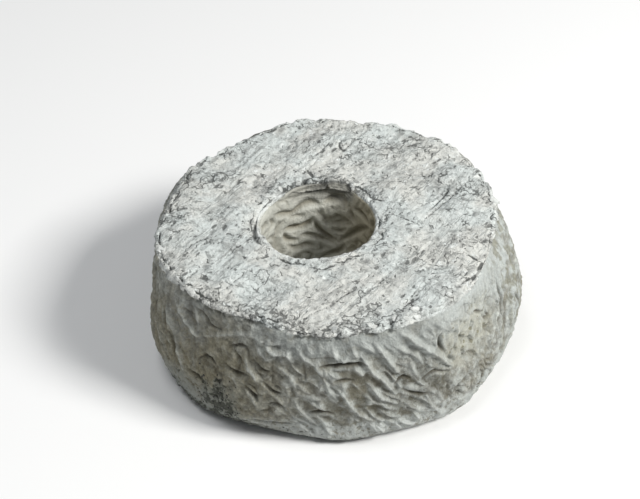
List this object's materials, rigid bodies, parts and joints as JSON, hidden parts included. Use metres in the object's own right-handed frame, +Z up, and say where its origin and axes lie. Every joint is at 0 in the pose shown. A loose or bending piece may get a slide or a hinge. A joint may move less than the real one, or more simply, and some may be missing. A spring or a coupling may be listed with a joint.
{
  "type": "cheese wheel",
  "caption": "Small ring-shaped goat cheese wheel with a wrinkled, ash-dusted rind and a hole straight through its middle, resting flat.",
  "frame": {"origin": "on the surface it stands on, under the middle of the wheel's bounding box", "axes": "+Z up through the wheel; -Y towards the side that the picture shows in front"},
  "size_m": [0.106, 0.101, 0.0409],
  "materials": {
    "ash_rind": "matte, powdery bloomy rind over grey ash"
  },
  "bodies": {
    "root": {"cheese_ring": "ash_rind"}
  },
  "joints": []
}
